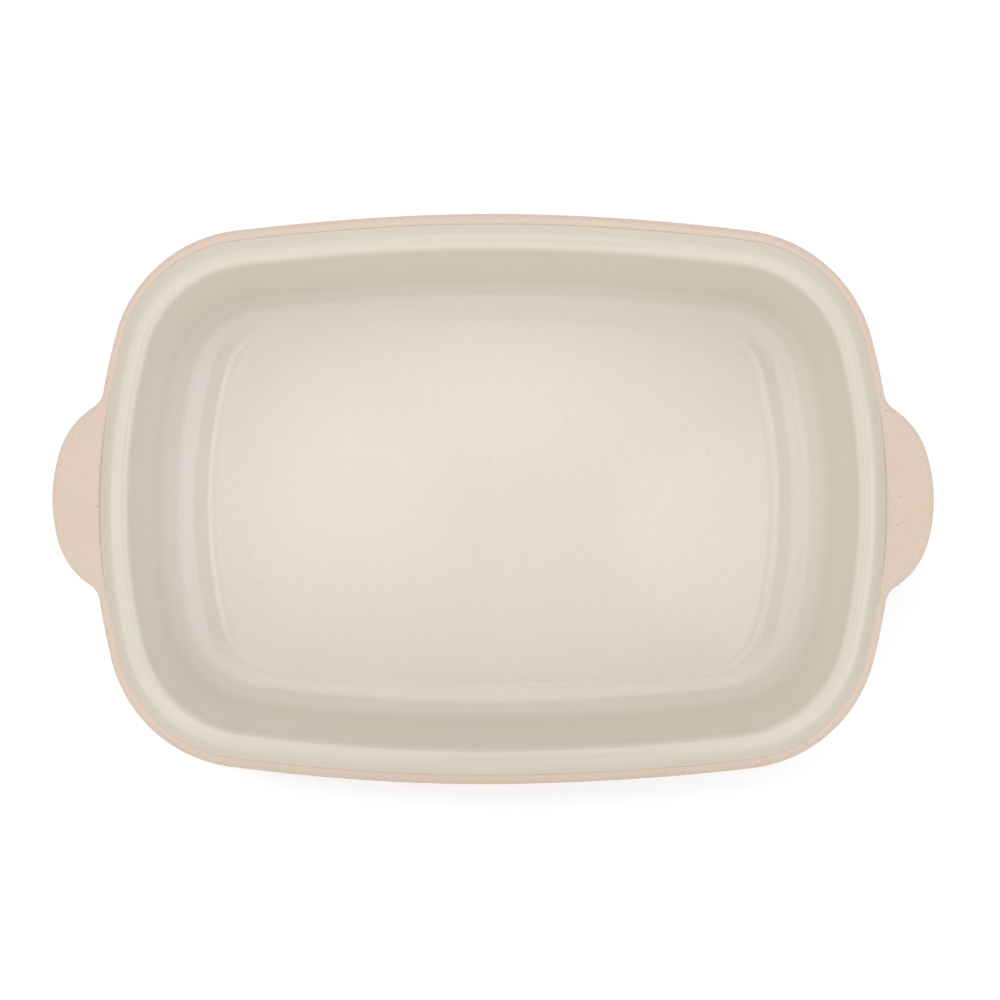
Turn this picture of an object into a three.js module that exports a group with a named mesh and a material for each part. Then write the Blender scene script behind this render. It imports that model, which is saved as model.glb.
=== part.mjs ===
// Stoneware roasting dish: bare clay outside, glazed inside, with bowed sides and two lug handles.
// Millimetres, +Z up. The origin is under the middle of the dish, on the surface that it stands on.
// +X runs along the length, towards the right-hand lug.
import * as THREE from 'three';

// Plan of the clay body at its outermost edge
const BODY_LENGTH = 354;
const BODY_WIDTH = 252;
const SIDE_BOW_RADIUS = 900;
const END_BOW_RADIUS = 285;
const CORNER_RADIUS = 63;
// How much of each inset the corner radius loses, so that the rim is a little wider at the corners
const CORNER_TIGHTENING = 0.75;

// Heights
const HEIGHT = 65;
const FOOT_HEIGHT = 1.5;
const FLOOR_THICKNESS = 8;

// Rim, from its outer edge inwards: bare ledge, gently arched crown, lip round into the cavity
const RIM_WIDTH = 15.2;
const LEDGE_WIDTH = 3.8;
const LEDGE_EDGE_RADIUS = 1.8;
const CROWN_RADIUS = 28;
const CROWN_INSET = 9;
const LIP_RADIUS = 3.2;
const RIM_BAND = 10;
const RIM_BAND_RADIUS = 3;
const UNDER_RIM_FILLET = 3;

// Walls and base. The ends run into the floor in a larger fillet than the long sides.
const WALL_THICKNESS = 7.5;
const WALL_DRAFT = THREE.MathUtils.degToRad(10.5);
const SIDE_FLOOR_FILLET = 19;
const SIDE_BASE_RADIUS = 24;
const END_FLOOR_FILLET = 27;
const END_BASE_RADIUS = 30;
const FOOT_WIDTH = 8;

// Glaze coat
const GLAZE_THICKNESS = 0.6;

// Lug handles
const HANDLE_REACH = 18;
const HANDLE_THICKNESS = 10;
const HANDLE_TIP_RADIUS = 70;
const HANDLE_TIP_HALF_WIDTH = 20;
const HANDLE_SHOULDER_RADIUS = 35;
const HANDLE_ROOT_FILLET = 10;
const HANDLE_TOP_ROUND = 2;
const HANDLE_UNDER_ROUND = 4;
const LUTING_GAP = 0.3;

// Facets: segments along each arc of a quarter of the plan, and along the arcs of the sections
const END_SEGMENTS = 4;
const CORNER_SEGMENTS = 8;
const SIDE_SEGMENTS = 3;
const FILLET_SEGMENTS = 6;
const ROUND_SEGMENTS = 4;
const CROWN_SEGMENTS = 4;
const HANDLE_TIP_SEGMENTS = 5;
const HANDLE_SHOULDER_SEGMENTS = 5;
const HANDLE_ROOT_SEGMENTS = 5;
const HANDLE_SEAT_SEGMENTS = 4;
const HANDLE_ROUND_SEGMENTS = 4;

// Levels that several pieces share
const crownZ = HEIGHT - GLAZE_THICKNESS;
const crownSlope = Math.asin((CROWN_INSET - LEDGE_WIDTH) / CROWN_RADIUS);
const ledgeZ = crownZ - CROWN_RADIUS * (1 - Math.cos(crownSlope));
const bandZ = ledgeZ - RIM_BAND;
const floorZ = FOOT_HEIGHT + FLOOR_THICKNESS;

// What differs between the section through an end and the section through a long side
const endWall = { floorFillet: END_FLOOR_FILLET, baseRadius: END_BASE_RADIUS };
const sideWall = { floorFillet: SIDE_FLOOR_FILLET, baseRadius: SIDE_BASE_RADIUS };

const clayMaterial = (name) => new THREE.MeshStandardMaterial({
  name,
  color: 0xd9c5b4,
  roughness: 0.85,
  metalness: 0,
});
const glazeMaterial = new THREE.MeshStandardMaterial({
  name: 'glaze',
  color: 0xe2d8c8,
  roughness: 0.25,
  metalness: 0,
});

// Angles along an arc, the first one left out so that arcs can be chained
function arcAngles(from, to, segments) {
  return Array.from({ length: segments }, (_, i) => from + (to - from) * (i + 1) / segments);
}

function pointOnArc(center, radius, angle) {
  return new THREE.Vector2(Math.cos(angle), Math.sin(angle)).multiplyScalar(radius).add(center);
}

function arcPoints(center, radius, from, to, segments) {
  return arcAngles(from, to, segments).map((angle) => pointOnArc(center, radius, angle));
}

// Where two circles cross, on the left-hand side of the line from the first centre to the second
function circleCrossing(first, firstRadius, second, secondRadius) {
  const span = second.clone().sub(first);
  const distance = span.length();
  const along = (firstRadius ** 2 - secondRadius ** 2 + distance ** 2) / (2 * distance);
  const across = Math.sqrt(firstRadius ** 2 - along ** 2);
  span.divideScalar(distance);
  const left = new THREE.Vector2(-span.y, span.x);
  return first.clone().addScaledVector(span, along).addScaledVector(left, across);
}

// The plan at one level: eight tangent arcs, given as one quarter from +X to +Y that is mirrored twice.
// Each point keeps how far it faces along the length, which blends the end section into the side section.
function planRing(endInset, sideInset) {
  const cornerRadius = CORNER_RADIUS - CORNER_TIGHTENING * (endInset + sideInset) / 2;
  const endRadius = END_BOW_RADIUS - endInset;
  const sideRadius = SIDE_BOW_RADIUS - sideInset;
  const endCenter = new THREE.Vector2(BODY_LENGTH / 2 - endInset - endRadius, 0);
  const sideCenter = new THREE.Vector2(0, BODY_WIDTH / 2 - sideInset - sideRadius);
  const corner = circleCrossing(
    endCenter, endRadius - cornerRadius, sideCenter, sideRadius - cornerRadius);
  const endAngle = corner.clone().sub(endCenter).angle();
  const sideAngle = corner.clone().sub(sideCenter).angle();
  const quarter = [
    new THREE.Vector2(BODY_LENGTH / 2 - endInset, 0),
    ...arcPoints(endCenter, endRadius, 0, endAngle, END_SEGMENTS),
    ...arcPoints(corner, cornerRadius, endAngle, sideAngle, CORNER_SEGMENTS),
    ...arcPoints(sideCenter, sideRadius, sideAngle, Math.PI / 2, SIDE_SEGMENTS),
  ];
  const facing = [
    0,
    ...arcAngles(0, endAngle, END_SEGMENTS),
    ...arcAngles(endAngle, sideAngle, CORNER_SEGMENTS),
    ...arcAngles(sideAngle, Math.PI / 2, SIDE_SEGMENTS),
  ];
  const faced = quarter.map((point, i) => ({ x: point.x, y: point.y, endShare: Math.cos(facing[i]) ** 2 }));
  const inner = faced.slice(1, -1);
  const mirrored = (points, x, y) => points.map((p) => ({ ...p, x: p.x * x, y: p.y * y }));
  return [
    ...faced,
    ...mirrored(inner, -1, 1).reverse(),
    ...mirrored(faced, -1, -1),
    ...mirrored(inner, 1, -1).reverse(),
  ];
}

// Section of the cavity side, from the floor's edge up over the rim to the glaze line.
// x is the inset from the body's outermost edge and y the height. A coat lifts it parallel to the clay.
function cavitySection(wall, coat) {
  const { fillet, lip, lipTurn, crown } = sectionCenters(wall);
  return [
    new THREE.Vector2(fillet.x, floorZ + coat),
    ...arcPoints(fillet, wall.floorFillet - coat, 1.5 * Math.PI, Math.PI + WALL_DRAFT, FILLET_SEGMENTS),
    pointOnArc(lip, LIP_RADIUS + coat, WALL_DRAFT),
    ...arcPoints(lip, LIP_RADIUS + coat, WALL_DRAFT, lipTurn, ROUND_SEGMENTS),
    ...arcPoints(crown, CROWN_RADIUS + coat, lipTurn, Math.PI / 2 + crownSlope, CROWN_SEGMENTS),
  ];
}

// Section of the outside, from the bare ledge round the rim band and down the wall to the foot's recess
function outsideSection(wall) {
  const { underRim, base } = sectionCenters(wall);
  const edge = new THREE.Vector2(LEDGE_EDGE_RADIUS, ledgeZ - LEDGE_EDGE_RADIUS);
  const band = new THREE.Vector2(RIM_BAND_RADIUS, bandZ + RIM_BAND_RADIUS);
  const baseStart = Math.PI + WALL_DRAFT;
  return [
    new THREE.Vector2(LEDGE_EDGE_RADIUS, ledgeZ),
    ...arcPoints(edge, LEDGE_EDGE_RADIUS, Math.PI / 2, Math.PI, ROUND_SEGMENTS),
    pointOnArc(band, RIM_BAND_RADIUS, Math.PI),
    ...arcPoints(band, RIM_BAND_RADIUS, Math.PI, 1.5 * Math.PI, ROUND_SEGMENTS),
    pointOnArc(underRim, UNDER_RIM_FILLET, Math.PI / 2),
    ...arcPoints(underRim, UNDER_RIM_FILLET, Math.PI / 2, WALL_DRAFT, ROUND_SEGMENTS),
    pointOnArc(base, wall.baseRadius, baseStart),
    ...arcPoints(base, wall.baseRadius, baseStart, 1.5 * Math.PI, FILLET_SEGMENTS),
    new THREE.Vector2(base.x + FOOT_WIDTH, 0),
    new THREE.Vector2(base.x + FOOT_WIDTH + FOOT_HEIGHT, FOOT_HEIGHT),
  ];
}

// Centres of the section's arcs, and the angle at which the lip's round runs into the crown.
// The two wall faces are parallel lines at the draft angle.
function sectionCenters({ floorFillet, baseRadius }) {
  const across = (point) => point.x * Math.cos(WALL_DRAFT) + point.y * Math.sin(WALL_DRAFT);
  const insetAt = (distance, z) => (distance - z * Math.sin(WALL_DRAFT)) / Math.cos(WALL_DRAFT);
  const crown = new THREE.Vector2(CROWN_INSET, crownZ - CROWN_RADIUS);
  const lipTurn = Math.acos((RIM_WIDTH - LIP_RADIUS - CROWN_INSET) / (CROWN_RADIUS - LIP_RADIUS));
  const lip = pointOnArc(crown, CROWN_RADIUS - LIP_RADIUS, lipTurn);
  const innerWall = across(lip) + LIP_RADIUS;
  const outerWall = innerWall - WALL_THICKNESS;
  const filletZ = floorZ + floorFillet;
  const underRimZ = bandZ - UNDER_RIM_FILLET;
  return {
    lip,
    lipTurn,
    crown,
    fillet: new THREE.Vector2(insetAt(innerWall + floorFillet, filletZ), filletZ),
    underRim: new THREE.Vector2(insetAt(outerWall - UNDER_RIM_FILLET, underRimZ), underRimZ),
    base: new THREE.Vector2(insetAt(outerWall + baseRadius, baseRadius), baseRadius),
  };
}

// Closed solid from equal rings of points: sides between neighbouring rings and a given cap at each end.
// Each four-sided patch is split along its shorter diagonal, so solids that share rings share their facets.
function solidFromRings(rings, capTriangles) {
  const count = rings[0].length;
  const points = rings.flat();
  const indices = [];
  for (let r = 0; r + 1 < rings.length; r++) {
    for (let i = 0; i < count; i++) {
      const upper = r * count + i;
      const upperNext = r * count + (i + 1) % count;
      const lower = upper + count;
      const lowerNext = upperNext + count;
      if (points[upper].distanceTo(points[lowerNext]) < points[lower].distanceTo(points[upperNext])) {
        indices.push(upper, lower, lowerNext, upper, lowerNext, upperNext);
      } else {
        indices.push(upper, lower, upperNext, upperNext, lower, lowerNext);
      }
    }
  }
  const last = points.length - count;
  for (const [a, b, c] of capTriangles) {
    indices.push(a, b, c);
    indices.push(last + a, last + c, last + b);
  }
  const geometry = new THREE.BufferGeometry().setFromPoints(points);
  geometry.setIndex(indices);
  geometry.computeVertexNormals();
  return geometry;
}

// Solid of one section swept round the plan: the first ring is the upper floor, the last one the underside
function solidOfSections(endSection, sideSection) {
  const rings = endSection.map((end, i) => {
    const side = sideSection[i];
    return planRing(end.x, side.x).map((p) => (
      new THREE.Vector3(p.x, p.y, THREE.MathUtils.lerp(side.y, end.y, p.endShare))));
  });
  const cap = [];
  for (let i = 1; i + 1 < rings[0].length; i++) {
    cap.push([0, i, i + 1]);
  }
  return solidFromRings(rings, cap);
}

function bodyGeometry() {
  const section = (wall) => [...cavitySection(wall, 0), ...outsideSection(wall)];
  return solidOfSections(section(endWall), section(sideWall));
}

// The coat's underside is the clay's own surface, so the two meet face to face
function glazeGeometry() {
  const section = (wall) => [...cavitySection(wall, GLAZE_THICKNESS), ...cavitySection(wall, 0).reverse()];
  return solidOfSections(section(endWall), section(sideWall));
}

// How far the lug may reach in over the rim band at a height, with the luting gap kept to the band's rounds
function handleSeatInset(z) {
  const reachOver = (radius, rise) => (
    radius - Math.sqrt(Math.max(0, (radius + LUTING_GAP) ** 2 - Math.max(0, rise) ** 2)));
  const overLedge = reachOver(LEDGE_EDGE_RADIUS, z - (ledgeZ - LEDGE_EDGE_RADIUS));
  const underBand = reachOver(RIM_BAND_RADIUS, bandZ + RIM_BAND_RADIUS - z);
  return Math.max(overLedge, underBand);
}

// Half of the lug's plan at one level: its free edge from the axis to the root, and its seat on the body
function handleHalfPlan(inset, z) {
  const bodyCenter = new THREE.Vector2(BODY_LENGTH / 2 - END_BOW_RADIUS, 0);
  const tipCenter = new THREE.Vector2(BODY_LENGTH / 2 + HANDLE_REACH - HANDLE_TIP_RADIUS, 0);
  const tipAngle = Math.asin(HANDLE_TIP_HALF_WIDTH / HANDLE_TIP_RADIUS);
  const shoulder = pointOnArc(tipCenter, HANDLE_TIP_RADIUS - HANDLE_SHOULDER_RADIUS, tipAngle);
  const root = circleCrossing(bodyCenter, END_BOW_RADIUS + HANDLE_ROOT_FILLET,
    shoulder, HANDLE_SHOULDER_RADIUS + HANDLE_ROOT_FILLET);
  const seatRadius = END_BOW_RADIUS - handleSeatInset(z);
  const rootEnd = circleCrossing(root, HANDLE_ROOT_FILLET + inset, bodyCenter, seatRadius);
  const shoulderEnd = root.clone().sub(shoulder).angle();
  const rootStart = shoulderEnd + Math.PI;
  const rootStop = rootEnd.clone().sub(root).angle();
  const free = [
    new THREE.Vector2(BODY_LENGTH / 2 + HANDLE_REACH - inset, 0),
    ...arcPoints(tipCenter, HANDLE_TIP_RADIUS - inset, 0, tipAngle, HANDLE_TIP_SEGMENTS),
    ...arcPoints(shoulder, HANDLE_SHOULDER_RADIUS - inset, tipAngle, shoulderEnd, HANDLE_SHOULDER_SEGMENTS),
    ...arcPoints(root, HANDLE_ROOT_FILLET + inset, rootStart, rootStop, HANDLE_ROOT_SEGMENTS),
  ];
  const seatStop = rootEnd.clone().sub(bodyCenter).angle();
  const seat = [
    new THREE.Vector2(bodyCenter.x + seatRadius, 0),
    ...arcPoints(bodyCenter, seatRadius, 0, seatStop, HANDLE_SEAT_SEGMENTS).slice(0, -1),
  ];
  return { free, seat };
}

// One level of the lug: round the free edge from the -Y root to the +Y root, then back along the seat
function handleRing(inset, z) {
  const { free, seat } = handleHalfPlan(inset, z);
  const mirrored = (points) => points.slice(1).reverse().map((p) => new THREE.Vector2(p.x, -p.y));
  const loop = [...mirrored(free), ...free, ...seat.slice().reverse(), ...mirrored(seat).reverse()];
  return loop.map((p) => new THREE.Vector3(p.x, p.y, z));
}

// A flat lug with rounded edges, its top flush with the bare ledge, seated on the rim band
function handleGeometry() {
  const underZ = ledgeZ - HANDLE_THICKNESS;
  const rings = [];
  for (let i = 0; i <= HANDLE_ROUND_SEGMENTS; i++) {
    const angle = Math.PI / 2 * i / HANDLE_ROUND_SEGMENTS;
    const inset = HANDLE_TOP_ROUND * (1 - Math.sin(angle));
    rings.push(handleRing(inset, ledgeZ - HANDLE_TOP_ROUND * (1 - Math.cos(angle))));
  }
  for (let i = 0; i <= HANDLE_ROUND_SEGMENTS; i++) {
    const angle = Math.PI / 2 * i / HANDLE_ROUND_SEGMENTS;
    const inset = HANDLE_UNDER_ROUND * (1 - Math.cos(angle));
    rings.push(handleRing(inset, underZ + HANDLE_UNDER_ROUND * (1 - Math.sin(angle))));
  }
  const contour = rings[0].map((p) => new THREE.Vector2(p.x, p.y));
  return solidFromRings(rings, THREE.ShapeUtils.triangulateShape(contour, []));
}

function namedMesh(name, geometry, material) {
  const mesh = new THREE.Mesh(geometry, material);
  mesh.name = name;
  return mesh;
}

const dish = new THREE.Group();
dish.add(namedMesh('dish_body', bodyGeometry(), clayMaterial('body_clay')));
dish.add(namedMesh('glaze_lining', glazeGeometry(), glazeMaterial));
const handleRight = namedMesh('handle_right', handleGeometry(), clayMaterial('right_lug_clay'));
const handleLeft = namedMesh('handle_left', handleGeometry(), clayMaterial('left_lug_clay'));
handleLeft.rotation.z = Math.PI;
dish.add(handleRight, handleLeft);

export default dish;
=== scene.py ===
"""Stoneware roasting dish, bare clay outside and glazed inside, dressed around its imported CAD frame.

Everything is in the frame's own axes: +Z up, +X along the length, the origin on the ground in the middle.
Shapes are worked out in millimetres and turned into metres when a mesh is made.
"""
import math

import bpy
import numpy as np
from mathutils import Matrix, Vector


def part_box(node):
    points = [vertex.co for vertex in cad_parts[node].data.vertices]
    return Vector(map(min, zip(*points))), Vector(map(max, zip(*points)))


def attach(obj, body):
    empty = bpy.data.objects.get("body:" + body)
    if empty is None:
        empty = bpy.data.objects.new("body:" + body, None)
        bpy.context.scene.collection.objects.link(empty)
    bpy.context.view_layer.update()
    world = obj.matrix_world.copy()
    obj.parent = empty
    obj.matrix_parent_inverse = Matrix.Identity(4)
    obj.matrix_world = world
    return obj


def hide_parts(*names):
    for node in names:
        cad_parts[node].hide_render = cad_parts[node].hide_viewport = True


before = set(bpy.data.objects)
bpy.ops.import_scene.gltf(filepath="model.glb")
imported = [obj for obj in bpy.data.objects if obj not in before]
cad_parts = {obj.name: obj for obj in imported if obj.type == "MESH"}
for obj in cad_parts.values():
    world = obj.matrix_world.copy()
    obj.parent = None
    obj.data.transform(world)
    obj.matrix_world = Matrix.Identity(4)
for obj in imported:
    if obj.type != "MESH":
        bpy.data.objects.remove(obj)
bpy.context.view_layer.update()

MM = 0.001


def box_mm(node):
    """Lowest and highest corner of a CAD node, in millimetres."""
    low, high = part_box(node)
    return np.array(low) / MM, np.array(high) / MM


body_low, body_high = box_mm("dish_body")
glaze_low, glaze_high = box_mm("glaze_lining")
lug_low, lug_high = box_mm("handle_right")

# Plan of the body at its outermost edge
BODY_LENGTH = body_high[0] - body_low[0]
BODY_WIDTH = body_high[1] - body_low[1]
SIDE_BOW_RADIUS = 900.0
END_BOW_RADIUS = 285.0
CORNER_RADIUS = 63.0
# How much of each inset the corner radius loses, so that the rim is a little wider at the corners
CORNER_TIGHTENING = 0.75

# Section of the rim and the walls
CROWN_Z = body_high[2]
COAT = glaze_high[2] - body_high[2]
FLOOR_Z = glaze_low[2]
RIM_WIDTH = 15.2
LEDGE_WIDTH = 3.8
LEDGE_EDGE_RADIUS = 2.6
CROWN_RADIUS = 28.0
CROWN_INSET = 9.0
LIP_RADIUS = 3.2
RIM_SLOPE = math.asin((CROWN_INSET - LEDGE_WIDTH) / CROWN_RADIUS)
LEDGE_Z = lug_high[2]
BAND_Z = lug_low[2]
BAND_RADIUS = 3.0
UNDER_RIM_FILLET = 3.0
WALL_THICKNESS = 7.5
WALL_DRAFT = math.radians(10.5)
SIDE_FLOOR_FILLET = 18.0
END_FLOOR_FILLET = 27.0
SIDE_BASE_RADIUS = 24.0
END_BASE_RADIUS = 30.0
FOOT_WIDTH = 8.0
FOOT_HEIGHT = 1.5

# The glaze's underside lies this far off the clay, and the lugs' tops this far over the ledge
HAIR = 0.02
# The coat's edge is rounded off over the last stretch of the rim's slope
COAT_EDGE = 0.8
EDGE_TURN = COAT_EDGE / CROWN_RADIUS
# Over the rim the coat's tone darkens, in full at the glaze line and gone past the lip: mostly painted
# shade on the rim's slope and crown, with a little clay showing through the thin coat. Insets, and the
# share on the crown
THIN_SHADE_LINE = 4.5
THIN_SHADE_CROWN = 10.0
THIN_SHADE_LIP = 15.0
CROWN_SHADE_SHARE = 0.6
# The coat's tone is a little deeper on the walls: heights over the floor where that starts and is full
DEEP_START = 6.0
DEEP_STOP = 18.0
# A strip of the ledge beside the glaze line is wiped pale, and ends in a thin flush of orange: insets
WIPE_START = 2.1
WIPE_STOP = 3.2
FLUSH_START = 3.0
FLUSH_STOP = 3.7
# The rim of the pressed dish came out this much wider along its back and its front, towards the cavity
BACK_SHIFT = 1.1
FRONT_SHIFT = 0.4
# Painted shade: the clay and the thin coat are darker along the front rim, where less light falls: the y
# where that starts and is full
FRONT_SHADE_START = -98.0
FRONT_SHADE_STOP = -127.0

# Slight waves of the pressed dish along each axis: size, radians per millimetre of x and of y, phase
WAVES = (
    ((0.16, 0.0, 0.023, 1.1), (0.09, 0.013, 0.049, 2.0)),
    ((0.18, 0.019, 0.0, 0.4), (0.10, 0.043, 0.011, 0.7)),
    ((0.10, 0.021, 0.0, 0.6), (0.09, 0.017, 0.029, 1.9)),
)
# Height from which the waves have their full size
WAVES_FULL = 20.0

# Lug handles
LUG_REACH = lug_high[0] - BODY_LENGTH / 2
LUG_TIP_RADIUS = 70.0
LUG_TIP_HALF_WIDTH = 20.0
LUG_SHOULDER_RADIUS = 35.0
LUG_ROOT_FILLET = 10.0
LUG_TOP_ROUND = 2.6
LUG_UNDER_ROUND = 4.0
# How far past the ledge the lug's seat is buried in the clay
LUG_SEAT_DEPTH = 0.3

# Steps along each arc of a quarter of the plan
END_STEPS = 26
CORNER_STEPS = 44
SIDE_STEPS = 50
# Steps along the cavity's section, times how fine it is where it is seen and where the coat hides it
FILLET_STEPS = 5
WALL_STEPS = 4
LIP_STEPS = 4
CROWN_STEPS = 5
SEEN_FINENESS = 4
HIDDEN_FINENESS = 2
COAT_EDGE_STEPS = 8
# Steps along the outside's section
LEDGE_STEPS = 4
ROUND_STEPS = 8
BAND_STEPS = 5
UNDER_RIM_STEPS = 3
OUTER_WALL_STEPS = 14
BASE_STEPS = 18
FOOT_STEPS = 5
RECESS_STEPS = 2
# Steps from the edge of each flat face to its middle
SEEN_FLOOR_STEPS = 36
HIDDEN_FLOOR_STEPS = 8
UNDERSIDE_STEPS = 24
# Steps along and across a lug
LUG_TIP_STEPS = 20
LUG_SHOULDER_STEPS = 24
LUG_ROOT_STEPS = 24
LUG_ROUND_STEPS = 8
LUG_FLAT_STEPS = 10


def arc(center, radius, start, stop, steps):
    """Points along an arc, both ends included."""
    turn = np.linspace(start, stop, steps + 1)
    return np.column_stack([np.cos(turn), np.sin(turn)]) * radius + center


def line(first, last, steps):
    """Points along a straight line, both ends included."""
    return np.linspace(first, last, steps + 1)


def chain(*stretches):
    """Stretches of a path in one, without the points that two neighbours share."""
    kept = [stretches[0]]
    for stretch in stretches[1:]:
        kept.append(stretch[1:])
    return np.vstack(kept)


def fade(values, low, high):
    """0 up to low, 1 from high on, and smooth between. It runs the other way where high is under low."""
    share = np.clip((values - low) / (high - low), 0, 1)
    return share * share * (3 - 2 * share)


def circle_crossing(first, first_radius, second, second_radius):
    """Where two circles cross, on the left-hand side of the line from the first centre to the second."""
    span = second - first
    distance = np.linalg.norm(span)
    span = span / distance
    along = (first_radius**2 - second_radius**2 + distance**2) / (2 * distance)
    across = math.sqrt(first_radius**2 - along**2)
    left = np.array([-span[1], span[0]])
    return first + span * along + left * across


def angle_of(vector):
    """Angle of a vector in plan, from +X."""
    return math.atan2(vector[1], vector[0])


def plan_ring(end_inset, side_inset):
    """The plan at one inset from the outermost edge, with how much of each point faces along the length."""
    corner_radius = CORNER_RADIUS - CORNER_TIGHTENING * (end_inset + side_inset) / 2
    end_radius = END_BOW_RADIUS - end_inset
    side_radius = SIDE_BOW_RADIUS - side_inset
    end_center = np.array([BODY_LENGTH / 2 - end_inset - end_radius, 0.0])
    side_center = np.array([0.0, BODY_WIDTH / 2 - side_inset - side_radius])
    corner = circle_crossing(
        end_center, end_radius - corner_radius, side_center, side_radius - corner_radius)
    end_angle = angle_of(corner - end_center)
    side_angle = angle_of(corner - side_center)
    quarter = chain(
        arc(end_center, end_radius, 0.0, end_angle, END_STEPS),
        arc(corner, corner_radius, end_angle, side_angle, CORNER_STEPS),
        arc(side_center, side_radius, side_angle, math.pi / 2, SIDE_STEPS))
    facing = np.concatenate([
        np.linspace(0.0, end_angle, END_STEPS + 1),
        np.linspace(end_angle, side_angle, CORNER_STEPS + 1)[1:],
        np.linspace(side_angle, math.pi / 2, SIDE_STEPS + 1)[1:]])
    share = np.cos(facing) ** 2
    back_again = share[1:-1][::-1]
    across = (quarter * (-1, 1))[1:-1][::-1]
    opposite = quarter * (-1, -1)
    below = (quarter * (1, -1))[1:-1][::-1]
    ring = np.vstack([quarter, across, opposite, below])
    return ring, np.concatenate([share, back_again, share, back_again])


class Section:
    """Centres of the section's arcs. x is the inset from the outermost edge and y the height."""

    def __init__(self, fillet, base_radius):
        self.fillet_radius = fillet
        self.base_radius = base_radius
        normal = np.array([math.cos(WALL_DRAFT), math.sin(WALL_DRAFT)])
        self.crown = np.array([CROWN_INSET, CROWN_Z - CROWN_RADIUS])
        lip_inset = RIM_WIDTH - LIP_RADIUS
        self.lip_turn = math.asin((lip_inset - CROWN_INSET) / (CROWN_RADIUS - LIP_RADIUS))
        lip_drop = (CROWN_RADIUS - LIP_RADIUS) * math.cos(self.lip_turn)
        self.lip = np.array([lip_inset, self.crown[1] + lip_drop])
        inner_wall = normal @ self.lip + LIP_RADIUS
        outer_wall = inner_wall - WALL_THICKNESS

        def at(distance, z):
            """The point at height z on the line that leans with the wall, this far from the origin."""
            return np.array([(distance - z * normal[1]) / normal[0], z])

        self.fillet = at(inner_wall + fillet, FLOOR_Z + fillet)
        self.under_rim = at(outer_wall - UNDER_RIM_FILLET, BAND_Z - UNDER_RIM_FILLET)
        self.base = at(outer_wall + base_radius, base_radius)
        self.slope_foot = np.array([LEDGE_WIDTH, LEDGE_Z])

    def cavity(self, coat, fineness, slope=RIM_SLOPE):
        """From the floor's edge up the wall, over the rim and down its slope, lifted by a coat."""
        crown_start = math.pi / 2 - self.lip_turn
        fillet = arc(self.fillet, self.fillet_radius - coat,
                     1.5 * math.pi, math.pi + WALL_DRAFT, FILLET_STEPS * fineness)
        lip = arc(self.lip, LIP_RADIUS + coat, WALL_DRAFT, crown_start, LIP_STEPS * fineness)
        crown = arc(self.crown, CROWN_RADIUS + coat,
                    crown_start, math.pi / 2 + slope, CROWN_STEPS * fineness)
        return chain(fillet, line(fillet[-1], lip[0], WALL_STEPS * fineness), lip, crown)

    def coat_edge(self):
        """The coat's edge, rounded off from its full thickness down to the clay at the glaze line."""
        turn = np.linspace(0, math.pi / 2, COAT_EDGE_STEPS + 1)
        lean = math.pi / 2 + RIM_SLOPE - EDGE_TURN * (1 - np.sin(turn))
        radius = CROWN_RADIUS + HAIR + (COAT - HAIR) * np.cos(turn)
        return self.crown + np.column_stack([np.cos(lean), np.sin(lean)]) * radius[:, None]

    def coat(self):
        """The coat's upper side, from the floor's edge to the glaze line."""
        return chain(self.cavity(COAT, SEEN_FINENESS, RIM_SLOPE - EDGE_TURN), self.coat_edge())

    def outside(self):
        """From the foot of the rim's slope over the ledge, down band and wall to the foot's recess."""
        edge = arc((LEDGE_EDGE_RADIUS, LEDGE_Z - LEDGE_EDGE_RADIUS), LEDGE_EDGE_RADIUS,
                   math.pi / 2, math.pi, ROUND_STEPS)
        lower = arc((BAND_RADIUS, BAND_Z + BAND_RADIUS), BAND_RADIUS,
                    math.pi, 1.5 * math.pi, ROUND_STEPS)
        under = arc(self.under_rim, UNDER_RIM_FILLET, math.pi / 2, WALL_DRAFT, ROUND_STEPS)
        base = arc(self.base, self.base_radius, math.pi + WALL_DRAFT, 1.5 * math.pi, BASE_STEPS)
        foot = base[-1] + (FOOT_WIDTH, 0)
        recess = foot + (FOOT_HEIGHT, FOOT_HEIGHT)
        return chain(
            line(self.slope_foot, edge[0], LEDGE_STEPS),
            edge,
            line(edge[-1], lower[0], BAND_STEPS),
            lower,
            line(lower[-1], under[0], UNDER_RIM_STEPS),
            under,
            line(under[-1], base[0], OUTER_WALL_STEPS),
            base,
            line(base[-1], foot, FOOT_STEPS),
            line(foot, recess, RECESS_STEPS))


end_section = Section(END_FLOOR_FILLET, END_BASE_RADIUS)
side_section = Section(SIDE_FLOOR_FILLET, SIDE_BASE_RADIUS)


def sweep(end_path, side_path, shifted=1.0):
    """Rings of points from one section swept round the plan, the end's section blending into the side's.

    The sides lie BACK_SHIFT and FRONT_SHIFT further in, times the share shifted.
    """
    rings = []
    for end, side, part in zip(end_path, side_path, np.broadcast_to(shifted, len(side_path))):
        ring, share = plan_ring(end[0], side[0])
        z = side[1] + (end[1] - side[1]) * share
        inward = np.where(ring[:, 1] > 0, -BACK_SHIFT, FRONT_SHIFT) * (1 - share)
        rings.append(np.column_stack([ring[:, 0], ring[:, 1] + inward * part, z]))
    return rings


def shrunk(ring, steps):
    """Rings inside a flat ring, closing in on its middle."""
    return [ring * (k, k, 1) for k in np.linspace(1, 0, steps + 1)[1:-1]]


def handmade(points):
    """The slight unevenness of a pressed and fired dish. It dies out at the foot, which stands flat."""
    x, y, z = points.T
    moved = np.zeros_like(points)
    for axis, waves in enumerate(WAVES):
        for size, along_x, along_y, phase in waves:
            moved[:, axis] += size * np.sin(along_x * x + along_y * y + phase)
    return points + moved * fade(z, 0.0, WAVES_FULL)[:, None]


def placed(name, data):
    """A new object in the scene."""
    made = bpy.data.objects.new(name, data)
    bpy.context.scene.collection.objects.link(made)
    return made


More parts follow.
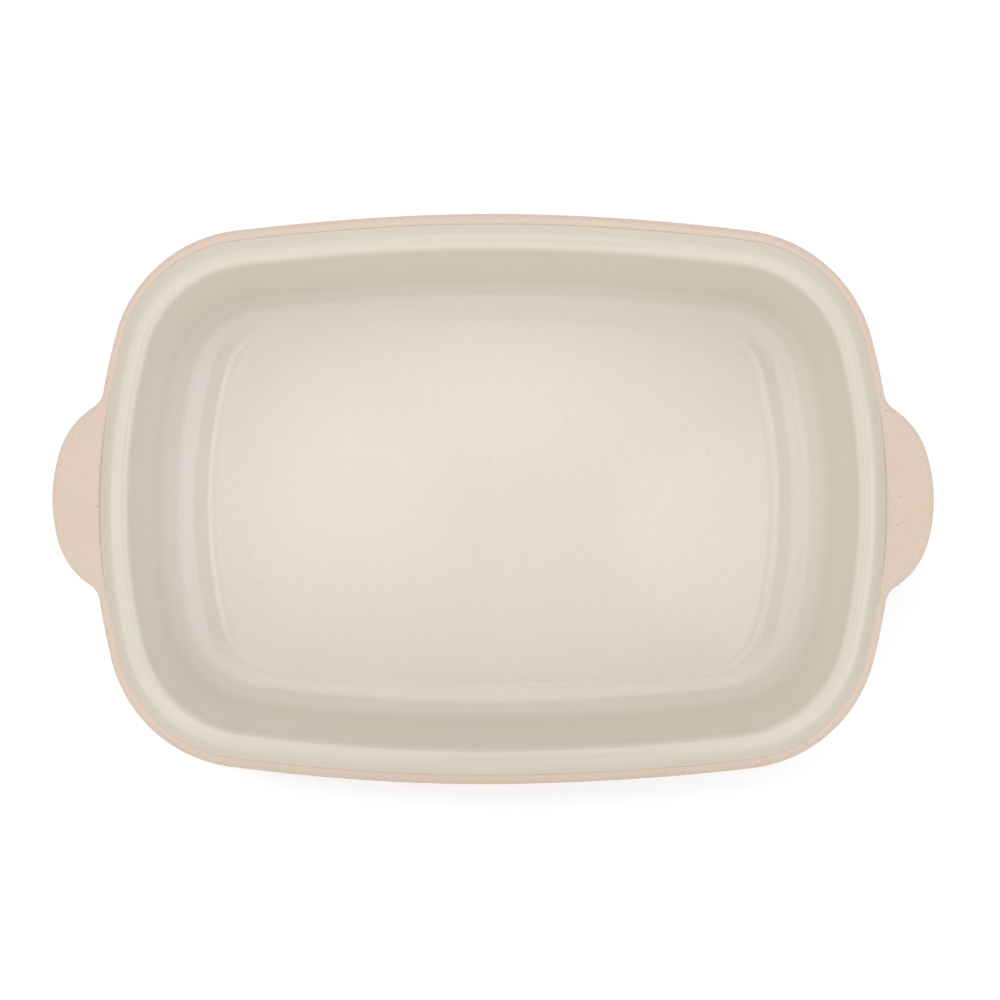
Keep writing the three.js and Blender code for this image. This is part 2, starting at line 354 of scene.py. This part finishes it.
def mesh_object(name, points, faces, values=None):
    """A smooth closed mesh from points in millimetres. Values are named numbers kept at each point."""
    mesh = bpy.data.meshes.new(name)
    mesh.from_pydata((handmade(points) * MM).tolist(), [], faces)
    for key, numbers in (values or {}).items():
        attribute = mesh.attributes.new(key, "FLOAT", "POINT")
        attribute.data.foreach_set("value", np.asarray(numbers, np.float32))
    mesh.validate()
    mesh.shade_smooth()
    return placed(name, mesh)


def bridged(rings):
    """Points and faces of stacked rings whose two ends close on a middle point each."""
    count = len(rings[0])
    points = np.vstack([rings[0].mean(0), *rings, rings[-1].mean(0)])
    faces = []
    for i in range(count):
        faces.append((0, 1 + i, 1 + (i + 1) % count))
    for r in range(len(rings) - 1):
        upper = 1 + r * count
        lower = upper + count
        for i in range(count):
            after = (i + 1) % count
            faces.append((upper + i, lower + i, lower + after, upper + after))
    last = 1 + (len(rings) - 1) * count
    for i in range(count):
        faces.append((len(points) - 1, last + (i + 1) % count, last + i))
    return points, faces


def by_point(rings, first, values):
    """Values of a run of rings, from the first one on, as one number for each point of the bridged mesh."""
    by_ring = np.zeros(len(rings))
    by_ring[first:first + len(values)] = values
    return np.concatenate([by_ring[:1], np.repeat(by_ring, len(rings[0])), by_ring[-1:]])


def glaze_piece():
    """The coat over the cavity and the crown of the rim, closed underneath along the clay."""
    top = sweep(end_section.coat(), side_section.coat())
    under = [section.cavity(HAIR, HIDDEN_FINENESS)[::-1] for section in (end_section, side_section)]
    bottom = sweep(*under)[1:]
    floor = shrunk(top[0], SEEN_FLOOR_STEPS)[::-1]
    rings = floor + top + bottom + shrunk(bottom[-1], HIDDEN_FLOOR_STEPS)
    points, faces = bridged(rings)
    insets, heights = side_section.coat().T
    past_lip = fade(insets, THIN_SHADE_LIP, THIN_SHADE_CROWN)
    to_line = fade(insets, THIN_SHADE_CROWN, THIN_SHADE_LINE)
    # Mostly painted shade on the rim's slope and crown, with a little clay showing through the thin coat
    thin_coat_shade = past_lip * CROWN_SHADE_SHARE + to_line * (1 - CROWN_SHADE_SHARE)
    deep = fade(heights - FLOOR_Z, DEEP_START, DEEP_STOP) * (1 - past_lip)
    return mesh_object("glaze_coat", points, faces, {
        "thin_coat_shade": by_point(rings, len(floor), thin_coat_shade),
        "deep": by_point(rings, len(floor), deep)})


def body_piece():
    """The clay dish: its cavity side under the coat, bare ledge, rim band, wall and foot."""
    inside = [section.cavity(0.0, HIDDEN_FINENESS) for section in (end_section, side_section)]
    outside = [section.outside() for section in (end_section, side_section)]
    inner = sweep(*inside)
    outer_insets, outer_heights = outside[1].T
    above_band = outer_heights > BAND_Z + BAND_RADIUS
    on_ledge = fade(outer_insets, LEDGE_EDGE_RADIUS, LEDGE_WIDTH) * above_band
    outer = sweep(*outside, on_ledge)[1:]
    floor = shrunk(inner[0], HIDDEN_FLOOR_STEPS)[::-1]
    rings = floor + inner + outer + shrunk(outer[-1], UNDERSIDE_STEPS)
    points, faces = bridged(rings)
    insets, heights = chain(inside[1], outside[1]).T
    on_rim = heights > BAND_Z
    wiped = fade(insets, WIPE_START, WIPE_STOP) * on_rim
    flush = fade(insets, FLUSH_START, FLUSH_STOP) * on_rim
    return mesh_object("clay_dish", points, faces, {
        "wiped": by_point(rings, len(floor), wiped),
        "flush": by_point(rings, len(floor), flush)})


def lug_edge():
    """The lug's free edge in plan from the -Y to the +Y root, its inward direction and the bow's centre."""
    body_center = np.array([BODY_LENGTH / 2 - END_BOW_RADIUS, 0.0])
    tip_center = np.array([BODY_LENGTH / 2 + LUG_REACH - LUG_TIP_RADIUS, 0.0])
    tip_angle = math.asin(LUG_TIP_HALF_WIDTH / LUG_TIP_RADIUS)
    tip_end = np.array([math.cos(tip_angle), math.sin(tip_angle)])
    shoulder = tip_center + tip_end * (LUG_TIP_RADIUS - LUG_SHOULDER_RADIUS)
    root = circle_crossing(body_center, END_BOW_RADIUS + LUG_ROOT_FILLET,
                           shoulder, LUG_SHOULDER_RADIUS + LUG_ROOT_FILLET)
    turn = angle_of(root - shoulder)
    landing = angle_of(body_center - root) % (2 * math.pi)
    stretches = (
        (tip_center, LUG_TIP_RADIUS, 0.0, tip_angle, LUG_TIP_STEPS, 1),
        (shoulder, LUG_SHOULDER_RADIUS, tip_angle, turn, LUG_SHOULDER_STEPS, 1),
        (root, LUG_ROOT_FILLET, turn + math.pi, landing, LUG_ROOT_STEPS, -1))
    arcs = []
    normals = []
    for center, radius, start, stop, steps, sign in stretches:
        points = arc(center, radius, start, stop, steps)
        arcs.append(points)
        normals.append((center - points) / radius * sign)
    edge = chain(*arcs)
    inward = chain(*normals)
    mirror = (1, -1)
    edge = np.vstack([(edge * mirror)[1:][::-1], edge])
    inward = np.vstack([(inward * mirror)[1:][::-1], inward])
    return edge, inward, body_center


def lug_profile():
    """Insets and heights round the lug's free edge, from its flat top to its flat underside."""
    top = LEDGE_Z + HAIR
    turns = np.linspace(0, math.pi / 2, LUG_ROUND_STEPS + 1)
    profile = []
    for turn in turns[::-1]:
        profile.append((LUG_TOP_ROUND * (1 - math.cos(turn)), top - LUG_TOP_ROUND * (1 - math.sin(turn))))
    for turn in turns:
        inset = LUG_UNDER_ROUND * (1 - math.cos(turn))
        profile.append((inset, BAND_Z + LUG_UNDER_ROUND * (1 - math.sin(turn))))
    return profile


def lug_piece(name, side):
    """A flat lug whose rounded edge runs out into the rim band. Its seat is buried in the rim's clay."""
    edge, inward, body_center = lug_edge()
    away = edge - body_center
    away = away / np.linalg.norm(away, axis=1)[:, None]
    seat = body_center + away * (END_BOW_RADIUS - LEDGE_WIDTH - LUG_SEAT_DEPTH)

    def row(inset, z, share=1.0):
        """One line along the lug, a share of the way from its seat to its edge."""
        plan = seat + (edge + inward * inset - seat) * share
        return np.column_stack([plan, np.full(len(plan), z)])

    profile = lug_profile()
    shares = np.linspace(0, 1, LUG_FLAT_STEPS + 1)[:-1]
    loops = [row(*profile[0], share) for share in shares]
    loops += [row(inset, z) for inset, z in profile]
    loops += [row(*profile[-1], share) for share in shares[::-1]]
    rows, columns = len(loops), len(edge)
    points = np.vstack(loops) * (side, side, 1)
    faces = []
    for r in range(rows):
        here = r * columns
        below = (r + 1) % rows * columns
        for c in range(columns - 1):
            faces.append((here + c, below + c, below + c + 1, here + c + 1))
    faces.append(tuple(r * columns for r in range(rows))[::-1])
    faces.append(tuple(r * columns + columns - 1 for r in range(rows)))
    return mesh_object(name, points, faces)


class Nodes:
    """A node tree that is filled by naming each node's kind and what goes into its sockets."""

    def __init__(self, tree):
        self.tree = tree
        tree.nodes.clear()

    def feed(self, socket, value):
        """Links a socket to another node's output, or sets its constant value."""
        if isinstance(value, bpy.types.NodeSocket):
            self.tree.links.new(value, socket)
        else:
            socket.default_value = value

    def add(self, kind, sockets=None, **settings):
        """A new node with its settings and inputs."""
        made = self.tree.nodes.new(kind)
        for key, value in settings.items():
            setattr(made, key, value)
        for key, value in (sockets or {}).items():
            self.feed(made.inputs[key], value)
        return made

    def ramp(self, factor, stops):
        """A colour ramp from (position, colour) stops."""
        made = self.add("ShaderNodeValToRGB", {"Fac": factor})
        elements = made.color_ramp.elements
        while len(elements) < len(stops):
            elements.new(0.5)
        for element, (position, color) in zip(elements, stops):
            element.position = position
            element.color = color
        return made.outputs["Color"]

    def ranged(self, value, low, high, to_low=0.0, to_high=1.0, smooth=False):
        """A value stretched from one range to another, and held at its ends."""
        kind = "SMOOTHSTEP" if smooth else "LINEAR"
        made = self.add("ShaderNodeMapRange", {
            "Value": value, "From Min": low, "From Max": high, "To Min": to_low, "To Max": to_high,
        }, interpolation_type=kind)
        return made.outputs["Result"]

    def noise(self, where, scale, detail, roughness=0.5):
        """Smooth random clouds from 0 to 1."""
        made = self.add("ShaderNodeTexNoise", {
            "Vector": where, "Scale": scale, "Detail": detail, "Roughness": roughness})
        return made.outputs["Fac"]

    def place(self):
        """Where each point lies on its piece, in metres."""
        return self.add("ShaderNodeTexCoord").outputs["Object"]

    def stored(self, name):
        """A number kept at the mesh's points."""
        return self.add("ShaderNodeAttribute", attribute_name=name).outputs["Fac"]

    def specks(self, where, cells, sizes, patches, chosen, strength):
        """How much of small round spots shows: one in each cell, kept only where the patches choose it."""
        spots = self.add("ShaderNodeTexVoronoi", {"Vector": where, "Scale": cells})
        spot = self.ranged(spots.outputs["Distance"], *sizes, 1.0, 0.0)
        kept = self.ranged(self.noise(where, patches, 1.0), *chosen)
        return self.math("MULTIPLY", self.math("MULTIPLY", spot, kept), strength)

    def relief(self, height, strength, depth):
        """Normals that lean with a height."""
        made = self.add("ShaderNodeBump", {"Strength": strength, "Distance": depth, "Height": height})
        return made.outputs["Normal"]

    def math(self, operation, first, second=0.0):
        """One step of arithmetic on one or two numbers."""
        return self.add("ShaderNodeMath", {0: first, 1: second}, operation=operation).outputs[0]

    def vector(self, operation, sockets, output="Vector"):
        """One step of arithmetic on vectors."""
        return self.add("ShaderNodeVectorMath", sockets, operation=operation).outputs[output]

    def mixed(self, factor, first, second):
        """A colour between two others."""
        made = self.add("ShaderNodeMix", data_type="RGBA")
        sockets = {"Factor_Float": factor, "A_Color": first, "B_Color": second}
        for socket in made.inputs:
            if socket.identifier in sockets:
                self.feed(socket, sockets[socket.identifier])
        return next(socket for socket in made.outputs if socket.identifier == "Result_Color")


def linear(red, green, blue):
    """A colour given as 0 to 255 on the screen, as the shader's linear numbers, opaque."""
    parts = np.array([red, green, blue]) / 255
    levels = np.where(parts <= 0.04045, parts / 12.92, ((parts + 0.055) / 1.055) ** 2.4)
    return (*levels, 1.0)


def new_material(name):
    """An empty material and its nodes."""
    material = bpy.data.materials.new(name)
    material.use_nodes = True
    return material, Nodes(material.node_tree)


def front_rim_shade(nodes, where, most):
    """How much of the painted shade along the front rim shows at a place of the dish."""
    place = nodes.add("ShaderNodeSeparateXYZ", {"Vector": where})
    return nodes.ranged(place.outputs["Y"], FRONT_SHADE_START * MM, FRONT_SHADE_STOP * MM, 0.0, most)


# Bare clay: its tones from the dark to the pale grains, and what is laid over them
CLAY_TONES = ((0.25, linear(201, 180, 165)), (0.5, linear(216, 198, 184)), (0.75, linear(225, 209, 196)))
CLAY_WARM = linear(215, 192, 174)
CLAY_PALE = linear(219, 202, 190)
CLAY_WIPED = linear(227, 214, 203)
CLAY_FLUSH = linear(231, 201, 170)
# Painted shade along the front rim, where less light falls
CLAY_FRONT_SHADE = linear(194, 175, 158)
CLAY_FLECK = linear(140, 112, 92)
# Cream glaze in the same way, from its darker to its paler clouds
GLAZE_TONES = ((0.3, linear(221, 214, 204)), (0.5, linear(222, 215, 206)), (0.7, linear(223, 216, 207)))
GLAZE_MILKY = linear(217, 209, 200)
GLAZE_DEEP = linear(221, 214, 201)
# The thin coat over the rim: mostly painted shade, with a little clay showing through
GLAZE_THIN_SHADE = linear(206, 197, 184)
# Painted shade along the front rim, where less light falls
GLAZE_FRONT_SHADE = linear(194, 185, 171)
GLAZE_SPECK = linear(150, 112, 88)
# Noises: cells per metre, layers of detail, and the roughness of the grain
CLAY_GRAIN = (1300.0, 4.0, 0.65)
CLAY_MOTTLE = (150.0, 3.0)
CLAY_BROAD = (16.0, 2.0)
GLAZE_CLOUDS = (22.0, 3.0)
GLAZE_FINE = (420.0, 3.0)
GLAZE_RIPPLE = (55.0, 2.0)
# How a layer or a roughness follows its noise: the noise where it starts and is full, its least and most
WARM_LAYER = (0.35, 0.75, 0.0, 0.35)
PALE_LAYER = (0.4, 0.7, 0.0, 0.3)
FLUSH_LAYER = (0.4, 0.65, 0.05, 0.6)
MILKY_LAYER = (0.35, 0.7, 0.0, 0.4)
CLAY_ROUGHNESS = (0.3, 0.7, 0.8, 0.92)
GLAZE_ROUGHNESS = (0.3, 0.7, 0.04, 0.08)
# Share of the wiped strip's tone and of the front rim's painted shade that shows at its most
WIPED_MOST = 0.25
FRONT_CLAY_SHADE_MOST = 0.45
FRONT_GLAZE_SHADE_MOST = 0.6
# Relief: strength and depth in metres
GRAIN_RELIEF = (0.35, 0.0002)
RIPPLE_RELIEF = (0.09, 0.001)
CLAY_SPECULAR = 0.25
GLAZE_IOR = 1.57


def clay_material():
    """Bare fired stoneware: fine grain, faint mottling and small dark flecks."""
    material, nodes = new_material("bare_clay")
    where = nodes.place()
    grain = nodes.noise(where, *CLAY_GRAIN)
    mottle = nodes.noise(where, *CLAY_MOTTLE)
    broad = nodes.noise(where, *CLAY_BROAD)
    tone = nodes.ramp(grain, CLAY_TONES)
    warm = nodes.mixed(nodes.ranged(mottle, *WARM_LAYER), tone, CLAY_WARM)
    pale = nodes.mixed(nodes.ranged(broad, *PALE_LAYER), warm, CLAY_PALE)
    washed = nodes.mixed(nodes.math("MULTIPLY", nodes.stored("wiped"), WIPED_MOST), pale, CLAY_WIPED)
    patchy = nodes.math("MULTIPLY", nodes.stored("flush"), nodes.ranged(mottle, *FLUSH_LAYER))
    flushed = nodes.mixed(patchy, washed, CLAY_FLUSH)
    # Painted shade: darker along the front rim
    front_shaded = nodes.mixed(front_rim_shade(nodes, where, FRONT_CLAY_SHADE_MOST), flushed, CLAY_FRONT_SHADE)
    flecks = nodes.specks(
        where, cells=260.0, sizes=(0.06, 0.13), patches=90.0, chosen=(0.56, 0.62), strength=0.55)
    color = nodes.mixed(flecks, front_shaded, CLAY_FLECK)
    shader = nodes.add("ShaderNodeBsdfPrincipled", {
        "Base Color": color,
        "Roughness": nodes.ranged(mottle, *CLAY_ROUGHNESS),
        "Specular IOR Level": CLAY_SPECULAR,
        "Normal": nodes.relief(grain, *GRAIN_RELIEF)})
    nodes.add("ShaderNodeOutputMaterial", {"Surface": shader.outputs["BSDF"]})
    return material


def glaze_material():
    """Cream glaze: soft clouds of tone, rare iron specks and a slightly rippled gloss."""
    material, nodes = new_material("cream_glaze")
    where = nodes.place()
    clouds = nodes.noise(where, *GLAZE_CLOUDS)
    fine = nodes.noise(where, *GLAZE_FINE)
    ripple = nodes.noise(where, *GLAZE_RIPPLE)
    tone = nodes.ramp(clouds, GLAZE_TONES)
    milky = nodes.mixed(nodes.ranged(fine, *MILKY_LAYER), tone, GLAZE_MILKY)
    full = nodes.mixed(nodes.stored("deep"), milky, GLAZE_DEEP)
    # Mostly painted shade on the rim's slope and crown, with a little clay showing through the thin coat
    coat = nodes.mixed(nodes.stored("thin_coat_shade"), full, GLAZE_THIN_SHADE)
    # Painted shade: darker along the front rim
    front_shaded = nodes.mixed(front_rim_shade(nodes, where, FRONT_GLAZE_SHADE_MOST), coat, GLAZE_FRONT_SHADE)
    specks = nodes.specks(
        where, cells=85.0, sizes=(0.015, 0.038), patches=33.0, chosen=(0.57, 0.59), strength=0.62)
    color = nodes.mixed(specks, front_shaded, GLAZE_SPECK)
    shader = nodes.add("ShaderNodeBsdfPrincipled", {
        "Base Color": color,
        "Roughness": nodes.ranged(fine, *GLAZE_ROUGHNESS),
        "IOR": GLAZE_IOR,
        "Normal": nodes.relief(ripple, *RIPPLE_RELIEF)})
    nodes.add("ShaderNodeOutputMaterial", {"Surface": shader.outputs["BSDF"]})
    return material


# Studio light seen from the dish: degrees from straight overhead and the level there, down to the horizon
HORIZON = 90
STUDIO_PEAK = 4.0
RIGHT_LIGHT = (
    (0, 0.75), (4, 1.0), (9, 1.5), (14.5, 1.7), (16, 0.03), (40, 0.03), (44, 1.18), (58, 1.43), (70, 1.65),
    (78, 1.15), (86, 0.6))
LEFT_LIGHT = (
    (0, 0.75), (4, 1.05), (9, 1.55), (14.5, 1.7), (16, 0.03), (36, 0.03), (42, 1.08), (53, 1.29), (62, 0.9),
    (69, 1.4), (77, 1.2), (86, 0.6))
BACK_LIGHT = (
    (0, 0.75), (4, 1.5), (8, 2.0), (12, 1.5), (15, 0.85), (19, 1.15), (26, 1.7), (44, 1.7), (54, 1.5),
    (60, 0.85), (66, 0.25), (74, 0.1), (82, 0.1), (87, 0.6))
FRONT_LIGHT = (
    (0, 0.75), (4, 1.15), (8, 1.45), (13, 1.4), (18, 1.25), (30, 1.15), (46, 1.1), (54, 1.15), (64, 1.2),
    (74, 1.05), (80, 0.25), (87, 0.6))
# The side that each light comes from, with its tint
SIDES = (
    ("X", 1, RIGHT_LIGHT, (1.0, 1.0, 1.03)),
    ("X", -1, LEFT_LIGHT, (1.01, 1.0, 0.95)),
    ("Y", 1, BACK_LIGHT, (1.0, 1.0, 0.98)),
    ("Y", -1, FRONT_LIGHT, (1.0, 1.0, 0.95)),
)
# Share of the left and right lights that is lost towards the back
BACK_FALL = 0.4
# Brighter spots overhead: degrees to +X and +Y, radius of the core and of the edge, added level
SPOTS = ((8.4, -0.3, 3.2, 4.0, 0.6), (-4.7, 1.0, 1.8, 3.8, 0.55))
# Lamp that casts the shadow: watts, and metres for its place and width
KEY_POWER = 4.9
KEY_PLACE = (-0.60, 0.48, 1.90)
KEY_SIZE = 0.45
# Ground: half of its width in metres, its colour, and what it adds where it is seen, to show white
GROUND_HALF = 2.0
GROUND_COLOR = (0.97, 0.97, 0.985, 1)
GROUND_GLOW = (0.156, 0.176, 0.206, 1)
# Camera: millimetres of sensor and lens, metres, degrees, shares of the picture
SENSOR = 36.0
LENS = 57.23
EYE_PLACE = (0.0025, -0.013, 0.765)
EYE_TILT = 2.7
EYE_ROLL = 0.149
EYE_SHIFT = (0.0015, -0.0487)


def studio_world():
    """A white studio: a panel overhead, softboxes to the left and right, pale walls behind and in front.

    The camera itself sees plain white.
    """
    world = bpy.data.worlds.new("studio")
    world.use_nodes = True
    bpy.context.scene.world = world
    nodes = Nodes(world.node_tree)
    direction = nodes.add("ShaderNodeTexCoord").outputs["Generated"]
    parts = nodes.add("ShaderNodeSeparateXYZ", {"Vector": direction})
    flat = nodes.add("ShaderNodeCombineXYZ", {"X": parts.outputs["X"], "Y": parts.outputs["Y"]})
    heading = nodes.vector("NORMALIZE", {0: flat.outputs["Vector"]})
    facing = nodes.add("ShaderNodeSeparateXYZ", {"Vector": heading})
    lean = nodes.math("DIVIDE", nodes.math("ARCCOSINE", parts.outputs["Z"]), math.pi / 2)
    back_fall = nodes.ranged(facing.outputs["Y"], 0.0, 1.0, 1.0, 1.0 - BACK_FALL)
    total = None
    for axis, sign, light, tint in SIDES:
        towards = nodes.math("MAXIMUM", nodes.math("MULTIPLY", facing.outputs[axis], sign), 0.0)
        share = nodes.math("MULTIPLY", towards, towards)
        if axis == "X":
            share = nodes.math("MULTIPLY", share, back_fall)
        stops = []
        for degrees, level in light:
            stops.append((degrees / HORIZON, (*(level / STUDIO_PEAK * part for part in tint), 1.0)))
        side = nodes.vector("SCALE", {0: nodes.ramp(lean, stops), "Scale": share})
        total = side if total is None else nodes.vector("ADD", {0: total, 1: side})
    for lean_x, lean_y, core, edge, gain in SPOTS:
        aim = np.array([math.sin(math.radians(lean_x)), math.sin(math.radians(lean_y)), 0.0])
        aim[2] = math.sqrt(1 - aim @ aim)
        along = nodes.vector("DOT_PRODUCT", {0: direction, 1: tuple(aim)}, "Value")
        spot = nodes.ranged(nodes.math("ARCCOSINE", along), math.radians(edge), math.radians(core),
                            0.0, gain / STUDIO_PEAK, smooth=True)
        total = nodes.vector("ADD", {0: total, 1: spot})
    tent = nodes.add("ShaderNodeBackground", {"Color": total, "Strength": STUDIO_PEAK})
    white = nodes.add("ShaderNodeBackground", {"Color": (1, 1, 1, 1), "Strength": 1.0})
    path = nodes.add("ShaderNodeLightPath")
    shown = nodes.add("ShaderNodeMixShader", {
        0: path.outputs["Is Camera Ray"], 1: tent.outputs[0], 2: white.outputs[0]})
    nodes.add("ShaderNodeOutputWorld", {"Surface": shown.outputs[0]})


def key_light():
    """A soft lamp over the dish, a little to the back and left, which the glaze doesn't mirror."""
    lamp = bpy.data.lights.new("key", "AREA")
    lamp.shape = "DISK"
    lamp.size = KEY_SIZE
    lamp.energy = KEY_POWER
    key = placed("key", lamp)
    key.location = KEY_PLACE
    key.visible_glossy = False
    track = key.constraints.new("TRACK_TO")
    track.target = placed("key_aim", None)
    track.track_axis = "TRACK_NEGATIVE_Z"
    track.up_axis = "UP_Y"


def ground():
    """A pale floor that shows white where it is lit and keeps the dish's shadow."""
    half = GROUND_HALF
    mesh = bpy.data.meshes.new("floor")
    corners = [(-half, -half, 0), (half, -half, 0), (half, half, 0), (-half, half, 0)]
    mesh.from_pydata(corners, [], [(0, 1, 2, 3)])
    floor = placed("floor", mesh)
    material, nodes = new_material("pale_floor")
    path = nodes.add("ShaderNodeLightPath")
    seen = nodes.math("MAXIMUM", path.outputs["Is Camera Ray"], path.outputs["Is Glossy Ray"])
    seen = nodes.math("MAXIMUM", seen, path.outputs["Is Transmission Ray"])
    matt = nodes.add("ShaderNodeBsdfDiffuse", {"Color": GROUND_COLOR})
    glow = nodes.add("ShaderNodeEmission", {"Color": GROUND_GLOW, "Strength": seen})
    both = nodes.add("ShaderNodeAddShader", {0: matt.outputs[0], 1: glow.outputs[0]})
    nodes.add("ShaderNodeOutputMaterial", {"Surface": both.outputs[0]})
    mesh.materials.append(material)


def camera():
    """Looks down on the dish from close above, a little from the front."""
    data = bpy.data.cameras.new("camera")
    data.sensor_width = SENSOR
    data.lens = LENS
    data.shift_x, data.shift_y = EYE_SHIFT
    eye = placed("camera", data)
    eye.location = EYE_PLACE
    eye.rotation_euler = (math.radians(EYE_TILT), 0.0, math.radians(EYE_ROLL))
    bpy.context.scene.camera = eye


def dress(piece, node, material):
    """Gives a piece its material and ties it to the CAD node that it stands for."""
    piece.data.materials.append(material)
    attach(piece, "root")
    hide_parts(node)


clay = clay_material()
glaze = glaze_material()
dress(body_piece(), "dish_body", clay)
dress(glaze_piece(), "glaze_lining", glaze)
dress(lug_piece("lug_right", 1), "handle_right", clay)
dress(lug_piece("lug_left", -1), "handle_left", clay)

studio_world()
key_light()
ground()
camera()
bpy.context.scene.view_settings.view_transform = "Standard"
